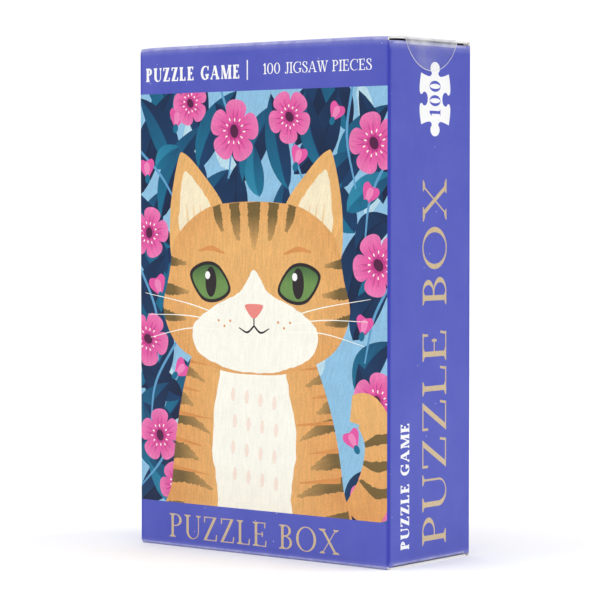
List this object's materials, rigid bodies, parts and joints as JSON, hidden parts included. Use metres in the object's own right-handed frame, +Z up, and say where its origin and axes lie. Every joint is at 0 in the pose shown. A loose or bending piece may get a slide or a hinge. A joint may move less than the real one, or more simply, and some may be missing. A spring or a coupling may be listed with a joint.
{
  "type": "boxed jigsaw puzzle",
  "caption": "Tuck-end card carton with hinged lids, tuck and dust flaps, a round clear seal and a film bag of interlocking jigsaw pieces.",
  "frame": {"origin": "middle of the closed carton's base, on the surface it stands on", "axes": "+Z up along the carton's height, -Y out of the front face, +X towards the sealed narrow side"},
  "size_m": [0.0882, 0.037, 0.1402],
  "materials": {
    "printed_board": "satin aqueous coat over a violet-blue print",
    "plain_board": "uncoated white board",
    "puzzle_board": "satin printed face on grey board",
    "seal_film": "clear glossy film",
    "bag_film": "clear glossy film"
  },
  "bodies": {
    "carton": {"front_panel": "printed_board", "back_panel": "printed_board", "left_side_panel": "printed_board", "right_side_panel": "printed_board", "glue_flap": "plain_board"},
    "top_lid": {"top_lid": "printed_board", "round_seal": "seal_film"},
    "top_tuck_flap": {"top_tuck_flap": "printed_board"},
    "top_dust_flap_left": {"top_dust_flap_left": "printed_board"},
    "top_dust_flap_right": {"top_dust_flap_right": "printed_board"},
    "bottom_lid": {"bottom_lid": "printed_board"},
    "bottom_tuck_flap": {"bottom_tuck_flap": "printed_board"},
    "bottom_dust_flap_left": {"bottom_dust_flap_left": "printed_board"},
    "bottom_dust_flap_right": {"bottom_dust_flap_right": "printed_board"},
    "bag": {"inner_bag": "bag_film", "piece_stack_left": "puzzle_board", "piece_stack_right": "puzzle_board", "puzzle_piece_030": "puzzle_board", "puzzle_piece_031": "puzzle_board", "puzzle_piece_032": "puzzle_board", "puzzle_piece_033": "puzzle_board", "puzzle_piece_034": "puzzle_board", "puzzle_piece_035": "puzzle_board", "puzzle_piece_036": "puzzle_board", "puzzle_piece_037": "puzzle_board", "puzzle_piece_038": "puzzle_board", "puzzle_piece_039": "puzzle_board", "puzzle_piece_040": "puzzle_board", "puzzle_piece_041": "puzzle_board", "puzzle_piece_042": "puzzle_board", "puzzle_piece_043": "puzzle_board", "puzzle_piece_044": "puzzle_board", "puzzle_piece_045": "puzzle_board", "puzzle_piece_046": "puzzle_board", "puzzle_piece_047": "puzzle_board", "puzzle_piece_048": "puzzle_board", "puzzle_piece_049": "puzzle_board", "puzzle_piece_050": "puzzle_board", "puzzle_piece_080": "puzzle_board", "puzzle_piece_081": "puzzle_board", "puzzle_piece_082": "puzzle_board", "puzzle_piece_083": "puzzle_board", "puzzle_piece_084": "puzzle_board", "puzzle_piece_085": "puzzle_board", "puzzle_piece_086": "puzzle_board", "puzzle_piece_087": "puzzle_board", "puzzle_piece_088": "puzzle_board", "puzzle_piece_089": "puzzle_board", "puzzle_piece_090": "puzzle_board", "puzzle_piece_091": "puzzle_board", "puzzle_piece_092": "puzzle_board", "puzzle_piece_093": "puzzle_board", "puzzle_piece_094": "puzzle_board", "puzzle_piece_095": "puzzle_board", "puzzle_piece_096": "puzzle_board", "puzzle_piece_097": "puzzle_board", "puzzle_piece_098": "puzzle_board", "puzzle_piece_099": "puzzle_board", "puzzle_piece_100": "puzzle_board"}
  },
  "joints": [
    {"name": "top_lid_hinge", "type": "hinge", "parent": "carton", "child": "top_lid", "pos_m": [0, -0.01825, 0.13975], "axis": [1, 0, 0], "range_deg": [0, 180]},
    {"name": "top_tuck_crease", "type": "hinge", "parent": "top_lid", "child": "top_tuck_flap", "pos_m": [0, 0.01755, 0.13975], "axis": [1, 0, 0], "range_deg": [0, 63]},
    {"name": "top_dust_crease_right", "type": "hinge", "parent": "carton", "child": "top_dust_flap_right", "pos_m": [0.04375, 0, 0.13875], "axis": [0, 1, 0], "range_deg": [0, 81]},
    {"name": "top_dust_crease_left", "type": "hinge", "parent": "carton", "child": "top_dust_flap_left", "pos_m": [-0.04375, 0, 0.13875], "axis": [0, -1, 0], "range_deg": [0, 81]},
    {"name": "bottom_lid_hinge", "type": "hinge", "parent": "carton", "child": "bottom_lid", "pos_m": [0, -0.01825, 0.00025], "axis": [-1, 0, 0], "range_deg": [0, 180]},
    {"name": "bottom_tuck_crease", "type": "hinge", "parent": "bottom_lid", "child": "bottom_tuck_flap", "pos_m": [0, 0.01755, 0.00025], "axis": [-1, 0, 0], "range_deg": [0, 63]},
    {"name": "bottom_dust_crease_right", "type": "hinge", "parent": "carton", "child": "bottom_dust_flap_right", "pos_m": [0.04375, 0, 0.0009], "axis": [0, -1, 0], "range_deg": [0, 81]},
    {"name": "bottom_dust_crease_left", "type": "hinge", "parent": "carton", "child": "bottom_dust_flap_left", "pos_m": [-0.04375, 0, 0.0009], "axis": [0, 1, 0], "range_deg": [0, 81]},
    {"name": "bag_slide", "type": "slide", "parent": "carton", "child": "bag", "axis": [0, 0, 1], "range_m": [0, 0.017]}
  ],
  "couplings": [
    {"joint": "top_tuck_crease", "follows": "top_lid_hinge", "ratio": 0.35},
    {"joint": "top_dust_crease_right", "follows": "top_lid_hinge", "ratio": 0.45},
    {"joint": "top_dust_crease_left", "follows": "top_lid_hinge", "ratio": 0.45},
    {"joint": "bottom_tuck_crease", "follows": "bottom_lid_hinge", "ratio": 0.35},
    {"joint": "bottom_dust_crease_right", "follows": "bottom_lid_hinge", "ratio": 0.45},
    {"joint": "bottom_dust_crease_left", "follows": "bottom_lid_hinge", "ratio": 0.45}
  ]
}
